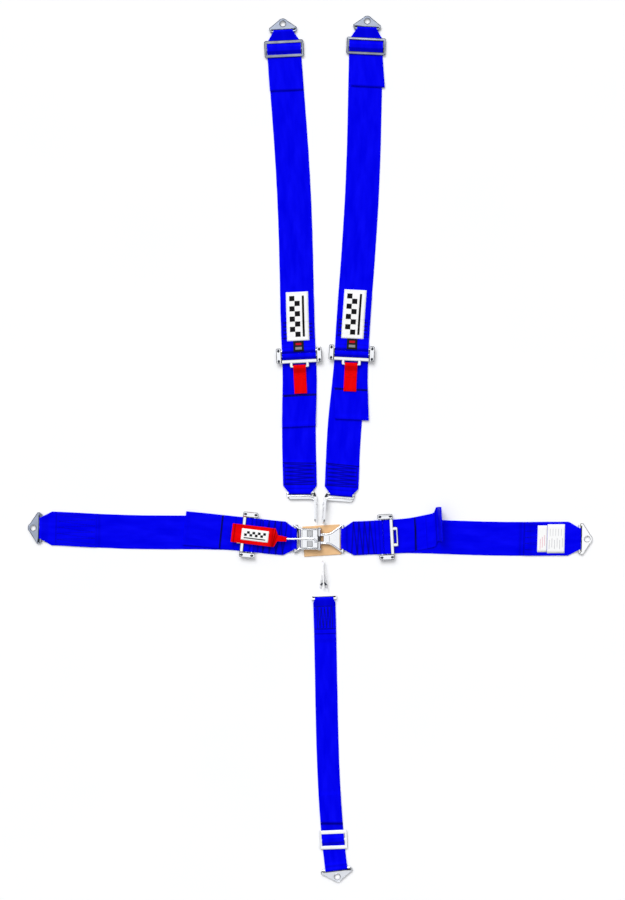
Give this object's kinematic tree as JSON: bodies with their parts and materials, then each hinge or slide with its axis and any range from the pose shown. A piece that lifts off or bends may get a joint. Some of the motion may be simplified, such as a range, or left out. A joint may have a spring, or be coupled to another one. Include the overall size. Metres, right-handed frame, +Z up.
{
  "type": "racing harness",
  "caption": "Five-point competition harness laid flat: latch and link buckle, lap, shoulder and crotch belts with adjusters, slides and bolt-in anchor plates.",
  "frame": {"origin": "middle of the laid-out harness, on the surface it lies on", "axes": "+Z up from the surface; +Y towards the shoulder anchors; +X towards the link side's lap anchor"},
  "size_m": [1.2686, 1.946, 0.0426],
  "materials": {
    "belt_webbing": "matt woven",
    "pull_webbing": "matt woven",
    "label": "smooth woven",
    "tag": "matt woven",
    "leather": "suede",
    "spring_steel": "dark satin",
    "plated_steel": "zinc plated",
    "chromed_steel": "polished"
  },
  "bodies": {
    "latch": {"latch_base": "chromed_steel", "latch_stud": "plated_steel", "lever_pin": "plated_steel", "lever_pin_clips": "spring_steel", "lever_spring": "spring_steel", "leather_pad": "leather"},
    "lever": {"latch_lever": "chromed_steel", "lever_rod": "plated_steel", "lever_pull": "pull_webbing", "lever_pull_label": "label"},
    "link": {"link": "chromed_steel"},
    "left_loop": {"left_loop_webbing": "belt_webbing"},
    "right_loop": {"right_loop_webbing": "belt_webbing"},
    "left_lap_adjuster": {"left_lap_adjuster_frame": "chromed_steel", "left_lap_adjuster_fixed_bar": "plated_steel", "left_lap_adjuster_sliding_bar": "plated_steel"},
    "left_lap_belt": {"left_lap_webbing": "belt_webbing"},
    "left_lap_anchor": {"left_lap_anchor": "plated_steel"},
    "right_lap_adjuster": {"right_lap_adjuster_frame": "chromed_steel", "right_lap_adjuster_fixed_bar": "plated_steel", "right_lap_adjuster_sliding_bar": "plated_steel"},
    "right_lap_belt": {"right_lap_webbing": "belt_webbing", "right_lap_label": "label", "right_lap_date_label": "label"},
    "right_lap_anchor": {"right_lap_anchor": "plated_steel"},
    "left_shoulder_upper": {"left_shoulder_upper_webbing": "belt_webbing", "left_shoulder_slide": "chromed_steel", "left_shoulder_label": "label", "left_shoulder_tag": "tag"},
    "left_shoulder_anchor": {"left_shoulder_anchor": "plated_steel"},
    "left_shoulder_adjuster": {"left_shoulder_adjuster_frame": "chromed_steel", "left_shoulder_adjuster_fixed_bar": "plated_steel", "left_shoulder_adjuster_sliding_bar": "plated_steel"},
    "left_shoulder_pull_tab": {"left_shoulder_pull_tab": "pull_webbing"},
    "left_shoulder_lower": {"left_shoulder_lower_webbing": "belt_webbing"},
    "left_shoulder_fitting": {"left_shoulder_fitting": "chromed_steel"},
    "right_shoulder_upper": {"right_shoulder_upper_webbing": "belt_webbing", "right_shoulder_slide": "chromed_steel", "right_shoulder_label": "label", "right_shoulder_tag": "tag"},
    "right_shoulder_anchor": {"right_shoulder_anchor": "plated_steel"},
    "right_shoulder_adjuster": {"right_shoulder_adjuster_frame": "chromed_steel", "right_shoulder_adjuster_fixed_bar": "plated_steel", "right_shoulder_adjuster_sliding_bar": "plated_steel"},
    "right_shoulder_pull_tab": {"right_shoulder_pull_tab": "pull_webbing"},
    "right_shoulder_lower": {"right_shoulder_lower_webbing": "belt_webbing"},
    "right_shoulder_fitting": {"right_shoulder_fitting": "chromed_steel"},
    "crotch_strap": {"crotch_webbing": "belt_webbing", "crotch_slide": "chromed_steel"},
    "crotch_fitting": {"crotch_fitting": "chromed_steel"},
    "crotch_anchor": {"crotch_anchor": "plated_steel"}
  },
  "joints": [
    {"name": "lever_hinge", "type": "hinge", "parent": "latch", "child": "lever", "pos_m": [0.02046, -0.20195, 0.0134], "axis": [0, 1, 0], "range_deg": [0, 110]},
    {"name": "link_tilt", "type": "hinge", "parent": "latch", "child": "link", "pos_m": [0.01646, -0.20195, 0.0081], "axis": [0, -1, 0], "range_deg": [0, 5]},
    {"name": "left_loop_hinge", "type": "hinge", "parent": "latch", "child": "left_loop", "pos_m": [-0.03404, -0.20195, 0.00445], "axis": [0, -1, 0], "range_deg": [0, 45]},
    {"name": "right_loop_hinge", "type": "hinge", "parent": "link", "child": "right_loop", "pos_m": [0.07346, -0.20195, 0.00445], "axis": [0, 1, 0], "range_deg": [0, 45]},
    {"name": "left_lap_adjuster_hinge", "type": "hinge", "parent": "left_loop", "child": "left_lap_adjuster", "pos_m": [-0.12763, -0.19421, 0.00445], "axis": [0.1045, 0.9945, 0], "range_deg": [-25, 0]},
    {"name": "left_lap_belt_hinge", "type": "hinge", "parent": "left_lap_adjuster", "child": "left_lap_belt", "pos_m": [-0.13957, -0.19296, 0.0044], "axis": [0.1045, 0.9945, 0], "range_deg": [-30, 0]},
    {"name": "left_lap_anchor_hinge", "type": "hinge", "parent": "left_lap_belt", "child": "left_lap_anchor", "pos_m": [-0.60527, -0.17811, 0.00395], "axis": [0.0279, 0.9996, 0], "range_deg": [-60, 60]},
    {"name": "right_lap_adjuster_hinge", "type": "hinge", "parent": "right_loop", "child": "right_lap_adjuster", "pos_m": [0.16037, -0.19844, 0.00445], "axis": [0.0523, -0.9986, 0], "range_deg": [-10, 30]},
    {"name": "right_lap_belt_hinge", "type": "hinge", "parent": "right_lap_adjuster", "child": "right_lap_belt", "pos_m": [0.17235, -0.19781, 0.0044], "axis": [0.0523, -0.9986, 0], "range_deg": [-30, 0]},
    {"name": "right_lap_anchor_hinge", "type": "hinge", "parent": "right_lap_belt", "child": "right_lap_anchor", "pos_m": [0.60528, -0.20227, 0.00395], "axis": [-0.014, -0.9999, 0], "range_deg": [-60, 60]},
    {"name": "left_shoulder_belt_slide", "type": "slide", "parent": "latch", "child": "left_shoulder_upper", "axis": [-0.0489, 0.9988, 0], "range_m": [0, 0.12]},
    {"name": "left_shoulder_anchor_hinge", "type": "hinge", "parent": "left_shoulder_upper", "child": "left_shoulder_anchor", "pos_m": [-0.06064, 0.93805, 0.00395], "axis": [0.9988, 0.0489, 0], "range_deg": [-60, 60]},
    {"name": "left_shoulder_adjuster_hinge", "type": "hinge", "parent": "left_shoulder_upper", "child": "left_shoulder_adjuster", "pos_m": [-0.02552, 0.21991, 0.00445], "axis": [-0.9988, -0.0489, 0], "range_deg": [-10, 30]},
    {"name": "left_shoulder_pull_tab_hinge", "type": "hinge", "parent": "left_shoulder_adjuster", "child": "left_shoulder_pull_tab", "pos_m": [-0.02381, 0.18495, 0.01005], "axis": [-0.9988, -0.0489, 0], "range_deg": [0, 80]},
    {"name": "left_shoulder_lower_hinge", "type": "hinge", "parent": "left_shoulder_adjuster", "child": "left_shoulder_lower", "pos_m": [-0.02493, 0.20792, 0.0044], "axis": [-0.9988, -0.0489, 0], "range_deg": [-30, 0]},
    {"name": "left_shoulder_fitting_hinge", "type": "hinge", "parent": "left_shoulder_lower", "child": "left_shoulder_fitting", "pos_m": [-0.02277, -0.09805, 0.00445], "axis": [-1, -0.0035, 0], "range_deg": [-45, 45]},
    {"name": "right_shoulder_belt_slide", "type": "slide", "parent": "latch", "child": "right_shoulder_upper", "axis": [0.0471, 0.9989, 0], "range_m": [0, 0.12]},
    {"name": "right_shoulder_anchor_hinge", "type": "hinge", "parent": "right_shoulder_upper", "child": "right_shoulder_anchor", "pos_m": [0.12766, 0.94405, 0.00395], "axis": [0.9989, -0.0471, 0], "range_deg": [-60, 60]},
    {"name": "right_shoulder_adjuster_hinge", "type": "hinge", "parent": "right_shoulder_upper", "child": "right_shoulder_adjuster", "pos_m": [0.09374, 0.22485, 0.00445], "axis": [-0.9989, 0.0471, 0], "range_deg": [-10, 30]},
    {"name": "right_shoulder_pull_tab_hinge", "type": "hinge", "parent": "right_shoulder_adjuster", "child": "right_shoulder_pull_tab", "pos_m": [0.09209, 0.18989, 0.01005], "axis": [-0.9989, 0.0471, 0], "range_deg": [0, 80]},
    {"name": "right_shoulder_lower_hinge", "type": "hinge", "parent": "right_shoulder_adjuster", "child": "right_shoulder_lower", "pos_m": [0.09318, 0.21286, 0.0044], "axis": [-0.9989, 0.0471, 0], "range_deg": [-30, 0]},
    {"name": "right_shoulder_fitting_hinge", "type": "hinge", "parent": "right_shoulder_lower", "child": "right_shoulder_fitting", "pos_m": [0.06965, -0.10225, 0.00445], "axis": [-0.9971, 0.0767, 0], "range_deg": [-45, 45]},
    {"name": "crotch_belt_slide", "type": "slide", "parent": "latch", "child": "crotch_strap", "axis": [0.0384, -0.9993, 0], "range_m": [0, 0.12]},
    {"name": "crotch_fitting_hinge", "type": "hinge", "parent": "crotch_strap", "child": "crotch_fitting", "pos_m": [0.03146, -0.33695, 0.00445], "axis": [0.9993, 0.0384, 0], "range_deg": [-45, 45]},
    {"name": "crotch_anchor_hinge", "type": "hinge", "parent": "crotch_strap", "child": "crotch_anchor", "pos_m": [0.0588, -0.94417, 0.00395], "axis": [-0.9921, -0.1253, 0], "range_deg": [-60, 60]}
  ]
}
